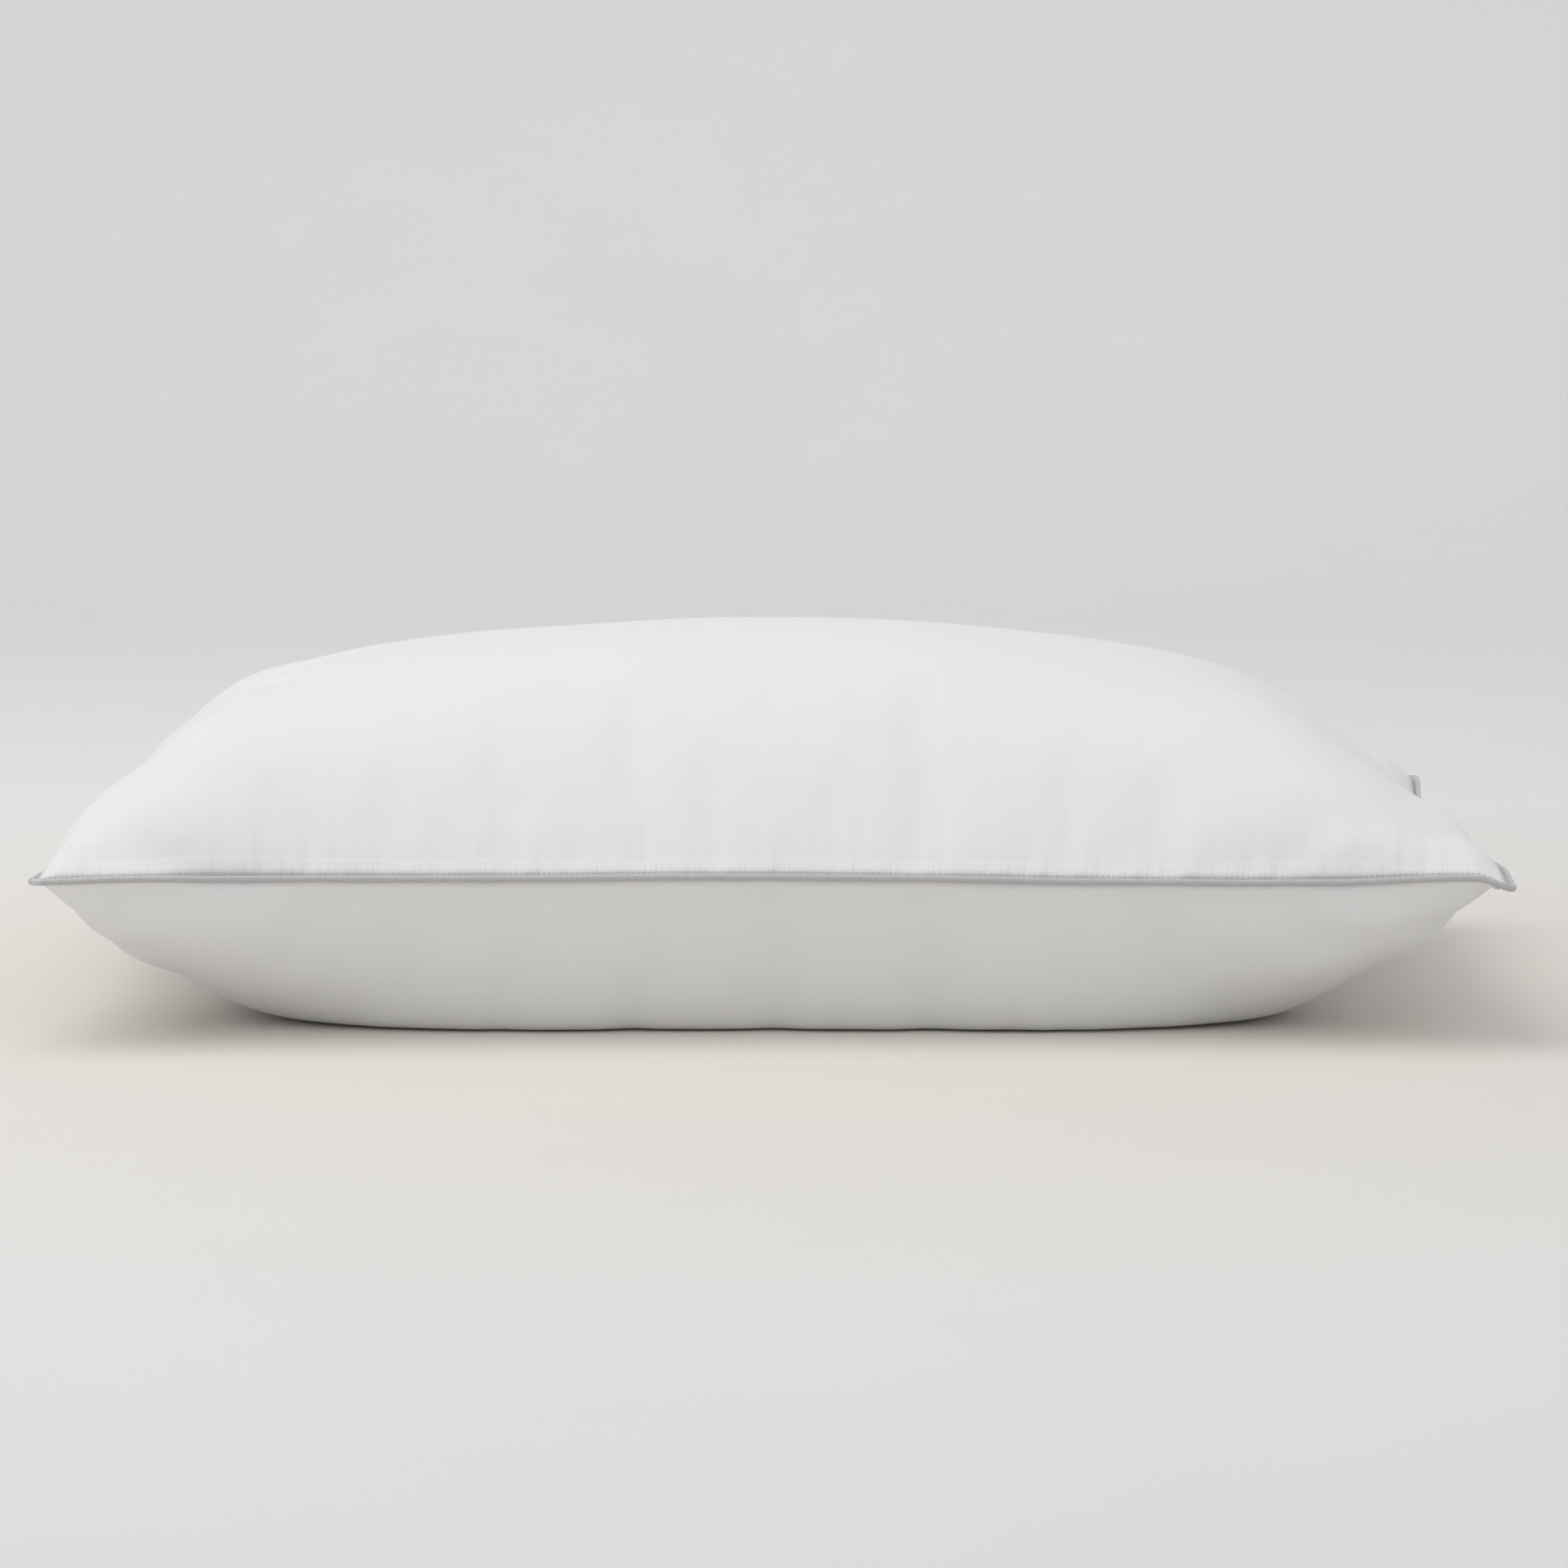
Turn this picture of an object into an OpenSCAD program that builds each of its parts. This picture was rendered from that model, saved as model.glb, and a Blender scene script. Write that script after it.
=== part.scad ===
// Bed pillow: a piped two-panel cotton shell, stuffed with fibre and lying flat.
// The two panels are sewn together all round with a covered cord between them, and the
// raw edges are turned inside.  X runs along the pillow, Y across it, Z is up, and the
// origin is under its middle, on the surface that it lies on.

/* [Pillow] */
// Length of the filled pillow from corner to corner, over the piping
pillow_length = 740; // [560:10:960]
// Depth of the filled pillow from corner to corner, over the piping
pillow_depth = 480; // [380:10:600]
// Height of the crown above the surface the pillow lies on
pillow_height = 202; // [150:2:240]
// Height of the seam above that surface
seam_height = 83; // [50:1:100]
// How far the underside would bulge below the seam if nothing pressed it flat
underside_bulge = 130; // [105:1:170]
// How far the middle of a long side pulls in behind its two corners
long_side_bow = 22; // [8:1:40]
// How far the middle of a short side pulls in behind its two corners
short_side_bow = 15; // [8:1:60]
// Radius of a sewn corner, along the middle of the piping
corner_radius = 8; // [6.5:0.5:20]

/* [Shell] */
// Thickness of the woven shell fabric
fabric_thickness = 0.35; // [0.2:0.05:0.6]
// Seam allowance turned inside, from the middle of the piping to the cut edge
seam_allowance = 11; // [8:0.5:16]
// Room between the shell and the filling
filling_gap = 0.8; // [0.4:0.1:2]

/* [Piping] */
// Diameter of the finished piping
piping_diameter = 3.4; // [2.6:0.1:5]
// Thickness of the satin tape wrapped round the cord
tape_thickness = 0.3; // [0.15:0.05:0.5]
// Play between the tape and the cord inside it
cord_play = 0.05; // [0.02:0.01:0.2]

/* [Stitching] */
// Diameter of the sewing thread
thread_diameter = 0.4; // [0.2:0.05:0.6]
// Distance of the assembly seam from the folded panel edge
assembly_seam_inset = 2.2; // [1.8:0.1:3]
// Distance of the edge stitch from the folded panel edge
edge_stitch_inset = 1.1; // [0.8:0.1:1.4]
// Distance of the closing stitch from the folded panel edge
closing_stitch_inset = 2.4; // [2.2:0.1:2.8]
// Length of the opening that the pillow was stuffed through
closing_length = 180; // [120:10:240]
// How far the overlocked edge reaches in over the seam allowance
overlock_width = 4; // [3:0.5:5]
// Distance of the piping tack from the start of the front left corner
tack_distance = 4; // [2:1:12]

/* [Label] */
// Width of the care label
label_width = 38; // [25:1:60]
// How far the care label hangs below the seam
label_drop = 52; // [30:1:60]
// Thickness of the label's satin
label_thickness = 0.2; // [0.1:0.05:0.4]
// Place of the label along the back seam, from the middle of the pillow
label_place = 190; // [0:5:240]

/* [Hidden] */

// Room left between two layers that are sewn together
layer_gap = 0.08;
// Room left beside a thread, a tape or an edge that lies against a panel
side_gap = 0.15;
piping_r = piping_diameter / 2;
thread_r = thread_diameter / 2;

// The seam loop, along the middle of the piping: four hollow sides and four round corners
corner_x = pillow_length / 2 - piping_r - corner_radius;
corner_y = pillow_depth / 2 - piping_r - corner_radius;
long_span = (pow(corner_x, 2) + pow(long_side_bow, 2)) / (2 * long_side_bow);
short_span = (pow(corner_y, 2) + pow(short_side_bow, 2)) / (2 * short_side_bow);
long_r = long_span - corner_radius;
short_r = short_span - corner_radius;
long_angle = asin(corner_x / long_span);
short_angle = asin(corner_y / short_span);
long_centre = corner_y + long_span - long_side_bow;
short_centre = corner_x + short_span - short_side_bow;
corner_sweep = 90 + long_angle + short_angle;
half_length = short_centre - short_r;
half_depth = long_centre - long_r;

// The stack of layers in the seam: piping tape, label, panel
tape_half = layer_gap / 2 + tape_thickness;
flange_face = tape_half + 2 * layer_gap + label_thickness;
fold_inset = piping_r + side_gap + label_thickness + side_gap;

// The dome of one panel over its half depth, the same on every side: its full height, and
// two powers that set how full its shoulders are
fold_reach = half_depth - fold_inset;
top_dome = [pillow_height - seam_height, 3, 0.6];
under_dome = [underside_bulge, 2, 0.75];
// Straight strip of panel next to the fold, which carries the edge stitching
edge_strip = 3.2;
// Half length of the level ridge along the crown, as a share of the half length
spine_share = 0.1;
// How quickly the rings lose their corners on the way in from the seam
corner_fade = 4;
// Where the rings of a panel lie, as shares of the way out from the spine.  The underside
// starts where its dome has come down to the surface, which makes its middle flat.
last_station = 0.94;
top_stations = [0.18, 0.36, 0.52, 0.66, 0.78, 0.87, last_station];
rest_share = pow(1 - pow(seam_height / underside_bulge, 1 / under_dome[2]), 1 / under_dome[1]);
bottom_stations = [for (share = [0, 0.25, 0.5, 0.75, 1])
                   rest_share - 0.01 + (last_station + 0.01 - rest_share) * share];
filling_edge = 1 - (seam_allowance + 2 - fold_inset) / fold_reach;
// Steps of a panel along one side and round one corner
side_steps = 14;
corner_steps = 6;
thread_sides = 6;

function blend(a, b, share) = a + (b - a) * share;
function polar(r, angle) = r * [cos(angle), sin(angle)];
function degrees(length, r) = length / r * 180 / PI;

// Points of the seam loop: place, direction inwards, and distance from the nearest corner
function side_points(middle, r, half_angle, facing) =
    [for (i = [0 : side_steps])
        let (turn = 1 - 2 * i / side_steps, angle = facing + half_angle * turn)
        [middle + polar(r, angle), polar(1, angle), r * (1 - abs(turn)) * half_angle * PI / 180]];
function corner_points(middle, start) =
    [for (i = [1 : corner_steps - 1])
        let (angle = start + corner_sweep * i / corner_steps)
        [middle + polar(corner_radius, angle), -polar(1, angle), 0]];
half_loop = concat(
    side_points([0, -long_centre], long_r, long_angle, 90),
    corner_points([corner_x, -corner_y], 270 - long_angle),
    side_points([short_centre, 0], short_r, short_angle, 180),
    corner_points([corner_x, corner_y], -short_angle));
seam_loop = concat(half_loop, [for (p = half_loop) [-p[0], -p[1], p[2]]]);

// A ring at height z, a share of the way from the spine to the outline set in by inset
function ring(share, inset, z) =
    [for (p = seam_loop)
        let (edge = p[0] + inset * p[1],
             root = [edge.x * spine_share, 0],
             corner = norm([edge.x / (half_length - inset), edge.y / (half_depth - inset)]),
             reach = share * blend(1 / corner, 1, pow(share, corner_fade)),
             place = root + (edge - root) * reach)
        [place.x, place.y, z]];

// How far a layer of the allowance may reach in beside a corner, where it is clipped to lie flat
function clipped(width, from_corner) = min(width, 0.75 * corner_radius + 0.7 * from_corner);

// A loop that runs beside the seam, out from the middle of the piping by out
function beside_seam(out, z) =
    [for (p = seam_loop)
        let (place = p[0] + clipped(-out, p[2]) * p[1])
        [place.x, place.y, z]];

// Height of a dome set in by inset, at a share of the way out from the spine
function height_at(dome, share, inset) =
    flange_face + (dome[0] - flange_face - inset) * pow(1 - pow(share, dome[1]), dome[2]);
// Slope of the strip of panel next to the seam
function edge_slope(dome) =
    atan2(height_at(dome, last_station, 0) - flange_face, (1 - last_station) * fold_reach);

function dome_rings(dome, stations, inset, flat) =
    [for (share = stations)
        ring(share, fold_inset + inset, min(height_at(dome, share, inset), flat - inset))];
function backwards(list) = [for (i = [len(list) - 1 : -1 : 0]) list[i]];

// Closes a stack of rings with a point above the first and a point below the last.  Past the
// turn the rings run back inwards, and the facets are split the other way, so that one skin
// lies evenly inside another.
module ring_solid(rings, first_z, last_z, turn) {
    count = len(seam_loop);
    points = concat([[0, 0, first_z]], [for (r = rings) each r], [[0, 0, last_z]]);
    last = len(points) - 1;
    function at(level, step) = 1 + level * count + step % count;
    faces = concat(
        [for (k = [0 : count - 1]) [0, at(0, k + 1), at(0, k)]],
        [for (j = [0 : len(rings) - 2], k = [0 : count - 1])
            let (a = at(j, k), b = at(j, k + 1), c = at(j + 1, k + 1), d = at(j + 1, k))
            each (j < turn ? [[a, b, c], [a, c, d]] : [[a, b, d], [b, c, d]])],
        [for (k = [0 : count - 1]) [at(len(rings) - 1, k), at(len(rings) - 1, k + 1), last]]);
    polyhedron(points, faces, convexity = 6);
}

// One panel over the seam plane: dome, edge strip, fold, and the allowance turned inside
module panel(dome, stations, flat) {
    slope = edge_slope(dome);
    strip_rise = edge_strip * tan(slope);
    inner_fold = fabric_thickness / tan(slope / 2);
    rings = concat(
        dome_rings(dome, stations, 0, flat),
        [ring(1, fold_inset + edge_strip, flange_face + strip_rise),
         ring(1, fold_inset, flange_face),
         beside_seam(-seam_allowance, flange_face),
         beside_seam(-seam_allowance, flange_face + fabric_thickness),
         ring(1, fold_inset + inner_fold, flange_face + fabric_thickness),
         ring(1, fold_inset + edge_strip + fabric_thickness * sin(slope),
              flange_face + strip_rise - fabric_thickness * cos(slope))],
        backwards(dome_rings(dome, stations, fabric_thickness, flat)));
    ring_solid(rings, flat, flat - fabric_thickness, len(stations) + 2);
}

// Sweeps a section round the whole seam.  A section is a list of points, anticlockwise, whose
// x points out of the pillow and is 0 at the middle of the piping.
module swept_round(section) {
    loops = [for (p = section) beside_seam(p.x, p.y)];
    count = len(seam_loop);
    turns = len(section);
    function at(row, step) = (row % turns) * count + step % count;
    faces = [for (j = [0 : turns - 1], k = [0 : count - 1])
        each [[at(j, k), at(j + 1, k), at(j + 1, k + 1)],
              [at(j, k), at(j + 1, k + 1), at(j, k + 1)]]];
    polyhedron([for (l = loops) each l], faces, convexity = 6);
}
function round_section(place, r, sides) =
    [for (i = [0 : sides - 1]) place + polar(r, 360 * i / sides)];

// Sweeps a section along a run of points beside one side, and closes both its ends
module swept_run(run, section) {
    turns = len(section);
    last = len(run) - 1;
    points = [for (p = run) each
        [for (q = section) [p[0].x - q.x * p[1].x, p[0].y - q.x * p[1].y, q.y]]];
    function at(step, row) = step * turns + row % turns;
    faces = concat(
        [[for (j = [0 : turns - 1]) at(0, j)]],
        [for (i = [0 : last - 1], j = [0 : turns - 1])
            each [[at(i, j), at(i + 1, j + 1), at(i, j + 1)],
                  [at(i, j), at(i + 1, j), at(i + 1, j + 1)]]],
        [[for (j = [turns - 1 : -1 : 0]) at(last, j)]]);
    polyhedron(points, faces, convexity = 6);
}

// Centre of a thread that lies on the edge strip, in the section's plane
function on_strip(dome, inset, gap) =
    let (lift = thread_r + gap, slope = edge_slope(dome))
    [lift * sin(slope) - fold_inset - inset,
     flange_face + inset * tan(slope) + lift * cos(slope)];

// A flat ribbon of even thickness along a line of points in a section's plane
module ribbon(path, thickness) {
    last = len(path) - 1;
    function heading(i) =
        let (a = path[max(i - 1, 0)], b = path[min(i + 1, last)])
        (b - a) / norm(b - a);
    side = [for (i = [0 : last]) thickness / 2 * [-heading(i).y, heading(i).x]];
    polygon(concat([for (i = [0 : last]) path[i] + side[i]],
                   [for (i = [last : -1 : 0]) path[i] - side[i]]));
}

// Woven cotton top, one piece from seam to seam, with its allowance turned under
module top_panel() {
    color([0.95, 0.95, 0.97])
        translate([0, 0, seam_height]) panel(top_dome, top_stations, top_dome[0]);
}

// The same cloth underneath, pressed flat where the pillow lies
module bottom_panel() {
    color([0.9, 0.89, 0.88])
        translate([0, 0, seam_height]) mirror([0, 0, 1])
        panel(under_dome, bottom_stations, seam_height);
}

// Loose fibre that fills the shell as far as the allowances
module filling() {
    inset = fabric_thickness + filling_gap;
    function layers(dome, stations, flat) =
        dome_rings(dome, [for (s = stations) if (s < filling_edge - 0.03) s], inset, flat);
    function turned_down(rings) = [for (r = rings) [for (p = r) [p.x, p.y, -p.z]]];
    upper = layers(top_dome, top_stations, top_dome[0]);
    rings = concat(
        upper,
        [ring(filling_edge, fold_inset + inset, 0)],
        backwards(turned_down(layers(under_dome, bottom_stations, seam_height))));
    color([0.98, 0.98, 0.95])
        translate([0, 0, seam_height])
        ring_solid(rings, top_dome[0] - inset, inset - seam_height, len(upper));
}

// Satin tape folded round the cord, its two edges lying between the panels' allowances
module piping_tape() {
    reach = seam_allowance - side_gap;
    inner_r = piping_r - tape_thickness;
    outer_turn = 180 - asin(tape_half / piping_r);
    inner_turn = 180 - asin(layer_gap / 2 / inner_r);
    outer_steps = 12;
    inner_steps = 8;
    section = concat(
        [[-reach, -tape_half]],
        [for (i = [0 : outer_steps]) polar(piping_r, outer_turn * (2 * i / outer_steps - 1))],
        [[-reach, tape_half], [-reach, layer_gap / 2]],
        [for (i = [0 : inner_steps]) polar(inner_r, inner_turn * (1 - 2 * i / inner_steps))],
        [[-reach, -layer_gap / 2]]);
    color([0.69, 0.68, 0.69])
        translate([0, 0, seam_height]) swept_round(section);
}

// Soft twisted filler cord inside the tape
module piping_cord() {
    cord_sides = 8;
    cord_r = (piping_r - tape_thickness) * cos(180 / cord_sides) - cord_play;
    color([0.93, 0.92, 0.88])
        translate([0, 0, seam_height]) swept_round(round_section([0, 0], cord_r, cord_sides));
}

// Needle and bobbin threads of the seam that joins both panels and the tape
module assembly_seam() {
    inset = fold_inset + assembly_seam_inset;
    z = flange_face + fabric_thickness + layer_gap + thread_r;
    color([0.97, 0.97, 0.97])
        translate([0, 0, seam_height])
        for (side = [-1, 1])
            swept_round(round_section([-inset, side * z], thread_r, thread_sides));
}

// Row of stitches on the top panel just above the piping
module edge_stitch() {
    color([0.82, 0.82, 0.84])
        translate([0, 0, seam_height])
        swept_round(round_section(on_strip(top_dome, edge_stitch_inset, side_gap),
                                  thread_r, thread_sides));
}

// Overlocked threads over the cut edges of all the layers, along each side: a band of loops on
// each face of the allowance, and one round its edge
module overlock_stitch() {
    inner = flange_face + fabric_thickness + layer_gap;
    outer = inner + thread_diameter;
    edge = seam_allowance + 2 * side_gap;
    trim = (seam_allowance - 0.75 * corner_radius) / 0.7 + 1;
    back = -edge - thread_diameter;
    function band(a, b) = [a, [b.x, a.y], b, [a.x, b.y]];
    bands = [band([back, inner], [overlock_width - edge, outer]),
             band([back, -outer], [overlock_width - edge, -inner]),
             band([back, layer_gap - inner], [-edge, inner - layer_gap])];
    color([0.96, 0.96, 0.95])
        translate([0, 0, seam_height])
        for (turn = [0, 180], section = bands) rotate(turn) {
            swept_run(side_points([0, -long_centre], long_r,
                                  long_angle - degrees(trim, long_r), 90), section);
            swept_run(side_points([short_centre, 0], short_r,
                                  short_angle - degrees(trim, short_r), 180), section);
        }
}

// Two rows of stitches that shut the filling opening in the middle of the left side
module closing_stitch() {
    run = side_points([short_centre, 0], short_r, degrees(closing_length / 2, short_r), 180);
    gap = 2 * side_gap;
    color([0.94, 0.94, 0.95])
        translate([0, 0, seam_height])
        rotate(180) {
            swept_run(run, round_section(on_strip(top_dome, closing_stitch_inset, gap),
                                         thread_r, thread_sides));
            mirror([0, 0, 1])
                swept_run(run, round_section(on_strip(under_dome, edge_stitch_inset, gap),
                                             thread_r, thread_sides));
        }
}

// Blank satin label, caught in the back seam and hanging down behind the pillow
module care_label() {
    level = -tape_half - layer_gap - label_thickness / 2;
    slot = -piping_r - side_gap - label_thickness / 2;
    path = [[-seam_allowance + overlock_width / 2, level],
            [slot - 0.12, level],
            [slot, level - 0.12],
            [slot, -piping_r],
            [slot + 1.3, -piping_r - 2.6],
            [slot + 3.2, -piping_r - 0.16 * label_drop],
            [slot + 5.2, -piping_r - 0.4 * label_drop],
            [slot + 6.2, -piping_r - 0.7 * label_drop],
            [slot + 6.6, -label_drop]];
    color([0.97, 0.97, 0.96])
        translate([0, 0, seam_height])
        rotate(180) translate([0, -long_centre])
        rotate(-asin(label_place / long_r)) translate([0, long_r])
        rotate([90, 0, 90]) translate([0, 0, -label_width / 2])
        linear_extrude(label_width) mirror([1, 0]) ribbon(path, label_thickness);
}

// Small thread loop that tacks the ends of the piping together near the front left corner
module piping_tack() {
    loop_r = piping_r + layer_gap + thread_r;
    open_half = 55;
    along = long_angle - degrees(tack_distance, long_r);
    color([0.98, 0.98, 0.98])
        translate([0, -long_centre, seam_height])
        rotate(90 + along) translate([long_r, 0, 0])
        rotate([90, 0, 0]) rotate(open_half)
        rotate_extrude(angle = 360 - 2 * open_half, $fn = 48)
        translate([loop_r, 0]) circle(r = thread_r, $fn = 24);
}

top_panel();
bottom_panel();
filling();
piping_tape();
piping_cord();
assembly_seam();
edge_stitch();
overlock_stitch();
closing_stitch();
care_label();
piping_tack();
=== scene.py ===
"""A bed pillow lying flat: two panels of white woven cotton, sewn together all round with a
covered cord between them and stuffed with loose fibre.  X runs along the pillow, Y across it."""

import math

import bpy
import numpy as np
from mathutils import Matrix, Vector
from mathutils.bvhtree import BVHTree


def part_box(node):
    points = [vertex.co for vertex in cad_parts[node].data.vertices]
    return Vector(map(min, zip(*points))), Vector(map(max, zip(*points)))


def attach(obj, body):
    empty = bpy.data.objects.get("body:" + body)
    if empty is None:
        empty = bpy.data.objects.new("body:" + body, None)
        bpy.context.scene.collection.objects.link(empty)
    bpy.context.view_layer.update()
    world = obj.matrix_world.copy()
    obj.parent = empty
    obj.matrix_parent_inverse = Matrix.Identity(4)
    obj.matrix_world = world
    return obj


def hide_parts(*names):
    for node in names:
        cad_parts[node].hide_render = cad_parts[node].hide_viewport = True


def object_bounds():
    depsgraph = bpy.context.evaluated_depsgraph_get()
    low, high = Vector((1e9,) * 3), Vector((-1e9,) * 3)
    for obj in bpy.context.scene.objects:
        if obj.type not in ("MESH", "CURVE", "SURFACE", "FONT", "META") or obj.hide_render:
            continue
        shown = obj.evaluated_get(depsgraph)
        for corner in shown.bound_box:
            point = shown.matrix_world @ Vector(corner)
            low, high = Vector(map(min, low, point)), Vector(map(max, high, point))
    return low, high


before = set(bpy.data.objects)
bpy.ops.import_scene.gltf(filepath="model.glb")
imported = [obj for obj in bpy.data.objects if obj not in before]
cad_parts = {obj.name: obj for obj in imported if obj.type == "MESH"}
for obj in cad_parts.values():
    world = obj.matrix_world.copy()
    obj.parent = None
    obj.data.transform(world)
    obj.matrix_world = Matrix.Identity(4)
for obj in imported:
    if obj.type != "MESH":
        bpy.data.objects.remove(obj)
cad_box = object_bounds()


# ---- The seam line ----
# Both panels and the piping are sewn together along one line.  The piping's box gives its
# height and its four corners, and each side bows in between two of them.
tape_low, tape_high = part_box("piping_tape")
piping_r = (tape_high.z - tape_low.z) / 2
seam_height = (tape_high.z + tape_low.z) / 2
SEAM_INSET = 0.0013  # from the middle of the piping in to the fold of the panels
TIP_REACH = 0.003  # how far a soft corner stands out past the piping's box
tip_x = tape_high.x - piping_r - SEAM_INSET + TIP_REACH
tip_y = tape_high.y - piping_r - SEAM_INSET + TIP_REACH
LONG_BOW = 0.022
SHORT_BOW = 0.015
CORNER_RADIUS = 0.005

CELLS_ALONG = 96
CELLS_ACROSS = 64
u, v = np.meshgrid(
    np.linspace(-1, 1, CELLS_ALONG + 1), np.linspace(-1, 1, CELLS_ACROSS + 1), indexing="ij"
)
on_edge = (np.abs(u) == 1) | (np.abs(v) == 1)


def seam_plan():
    """Where the filled pillow has each crossing of the cloth's grid, seen from above."""
    plan = np.stack(
        [
            u * (tip_x - SHORT_BOW * (1 - v**2)),
            v * (tip_y - LONG_BOW * (1 - u**2)),
        ],
        -1,
    )
    # a sewn corner is round, so the edge near a tip lies on an arc
    from_tip = np.maximum(tip_x * (1 - np.abs(u)), tip_y * (1 - np.abs(v)))
    turned = np.radians(45) * (1 - from_tip / CORNER_RADIUS)
    on_arc = on_edge & (from_tip < CORNER_RADIUS)
    on_long_side = np.abs(v) == 1
    arm = np.stack(
        [
            np.where(on_long_side, np.sin(turned), np.cos(turned)),
            np.where(on_long_side, np.cos(turned), np.sin(turned)),
        ],
        -1,
    )
    side = np.stack([np.sign(u), np.sign(v)], -1)
    tip = np.array([tip_x, tip_y])
    arc = side * (tip - CORNER_RADIUS + CORNER_RADIUS * arm)
    return np.where(on_arc[..., None], arc, plan)


def edge_loop(grid):
    """The values on a grid's edge, in order all the way round, anticlockwise from the front left."""
    return np.concatenate([grid[:-1, 0], grid[-1, :-1], grid[:0:-1, -1], grid[0, :0:-1]])


# ---- Cutting, sewing and stuffing ----
# Each panel is cut as a plain rectangle.  Their edges are sewn together on the seam line,
# which is a little shorter, and the stuffing blows the flat case up until the cloth is tight.
PATTERN_LENGTH = 0.776
PATTERN_DEPTH = 0.524
STUFFING_FRAMES = 40
SEWING_FRAMES = 8
STUFFING_PRESSURE = 12
SLACK = 0.006  # how far each flat panel stands off the seam's level in the middle
CREASE_HEIGHT = 0.0004  # of the small creases that the flat cloth starts with

grid_count = u.size
top_index = np.arange(grid_count).reshape(u.shape)
under_index = top_index.copy()
under_index[~on_edge] = grid_count + np.arange((~on_edge).sum())


def grid_faces(index, face_up):
    """Four-sided faces between the crossings of a grid."""
    corners = [index[:-1, :-1], index[1:, :-1], index[1:, 1:], index[:-1, 1:]]
    faces = np.stack(corners, -1).reshape(-1, 4)
    return faces if face_up else faces[:, ::-1]


def mesh_piece(name, points, faces, map_name=None, mapped=None):
    """A new object with a mesh of these points and faces, and perhaps a map of the cloth."""
    mesh = bpy.data.meshes.new(name)
    mesh.from_pydata(np.asarray(points, float).tolist(), [], [list(map(int, f)) for f in faces])
    mesh.shade_smooth()
    if map_name:
        layer = mesh.uv_layers.new(name=map_name)
        corner_points = np.zeros(len(mesh.loops), np.int32)
        mesh.loops.foreach_get("vertex_index", corner_points)
        layer.data.foreach_set("uv", np.asarray(mapped, np.float32)[corner_points].ravel())
    piece = bpy.data.objects.new(name, mesh)
    bpy.context.scene.collection.objects.link(piece)
    return piece


def shaped_points(piece):
    """The points of a piece as its modifiers leave it."""
    shaped = piece.evaluated_get(bpy.context.evaluated_depsgraph_get()).data
    points = np.zeros(len(shaped.vertices) * 3, np.float32)
    shaped.vertices.foreach_get("co", points)
    return points.reshape(-1, 3).astype(float)


def stuffed_case():
    """Blows up the flat case, and returns its top and its underside as grids of points."""
    slack = SLACK * (1 - u**2) * (1 - v**2)
    pattern = np.stack([u * PATTERN_LENGTH / 2, v * PATTERN_DEPTH / 2], -1)
    creases = np.random.default_rng(4).normal(0, CREASE_HEIGHT, grid_count)
    slack += np.where(on_edge, 0, creases.reshape(u.shape))

    def both_sides(plan):
        upper = np.concatenate([plan, slack[..., None]], -1)
        lower = np.concatenate([plan, -slack[..., None]], -1)
        return np.vstack([upper.reshape(-1, 3), lower[~on_edge]])

    flat = both_sides(pattern)
    sewn = flat.copy()
    on_seam = edge_loop(top_index)
    sewn[on_seam] = both_sides(seam_plan())[on_seam]
    faces = np.vstack([grid_faces(top_index, True), grid_faces(under_index, False)])
    case = mesh_piece("flat_case", flat, faces)
    case.shape_key_add(name="Basis")
    seam = case.shape_key_add(name="sewn")
    seam.data.foreach_set("co", sewn.astype(np.float32).ravel())
    for frame_number, value in ((1, 0), (SEWING_FRAMES, 1)):
        seam.value = value
        seam.keyframe_insert("value", frame=frame_number)
    case.vertex_groups.new(name="seam").add(on_seam.tolist(), 1, "REPLACE")

    cloth = case.modifiers.new("stuffing", "CLOTH")
    fabric = cloth.settings
    fabric.quality = 8
    fabric.mass = 0.15
    fabric.air_damping = 2
    fabric.tension_stiffness = 40
    fabric.compression_stiffness = 2
    fabric.shear_stiffness = 14
    fabric.bending_stiffness = 3
    fabric.tension_damping = fabric.compression_damping = fabric.shear_damping = 10
    fabric.bending_damping = 0.5
    fabric.vertex_group_mass = "seam"
    fabric.use_pressure = True
    fabric.uniform_pressure_force = STUFFING_PRESSURE
    fabric.effector_weights.gravity = 0
    cloth.collision_settings.use_collision = False
    cloth.point_cache.frame_start = 1
    cloth.point_cache.frame_end = STUFFING_FRAMES
    for frame_number in range(1, STUFFING_FRAMES + 1):
        bpy.context.scene.frame_set(frame_number)
    points = shaped_points(case)
    bpy.data.objects.remove(case)
    bpy.context.scene.frame_set(1)
    return points[top_index], points[under_index]


top_skin, under_skin = stuffed_case()


# ---- How the pillow lies ----
# The stuffed case is given more or less height along its length, as the fibre packs it.  Its
# front right corner droops, its back right corner stands up a little, and the weight presses
# the underside flat against the surface that it lies on.
TOP_FULLNESS = (  # place along the pillow, and height there over an even stuffing's
    (-0.4, 1.36), (-0.311, 1.36), (-0.285, 1.22), (-0.262, 1.1), (-0.24, 1.03), (-0.2, 0.98),
    (-0.1, 0.955), (0.0, 0.955), (0.19, 0.965), (0.235, 1.0), (0.265, 1.04), (0.29, 1.0),
    (0.32, 0.97), (0.4, 0.97),
)
UNDER_FULLNESS = (
    (-0.4, 1.25), (-0.3, 1.22), (-0.27, 1.18), (-0.235, 1.22), (-0.19, 1.4), (-0.14, 1.65),
    (0.14, 1.65), (0.19, 1.38), (0.23, 1.2), (0.285, 1.15), (0.4, 1.15),
)
TOP_TIPS = (2.0, 0.052, 2.5)  # extra fullness in a corner, how far in it starts, and its curve
UNDER_TIPS = (1.05, 0.07, 1.5)
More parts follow.
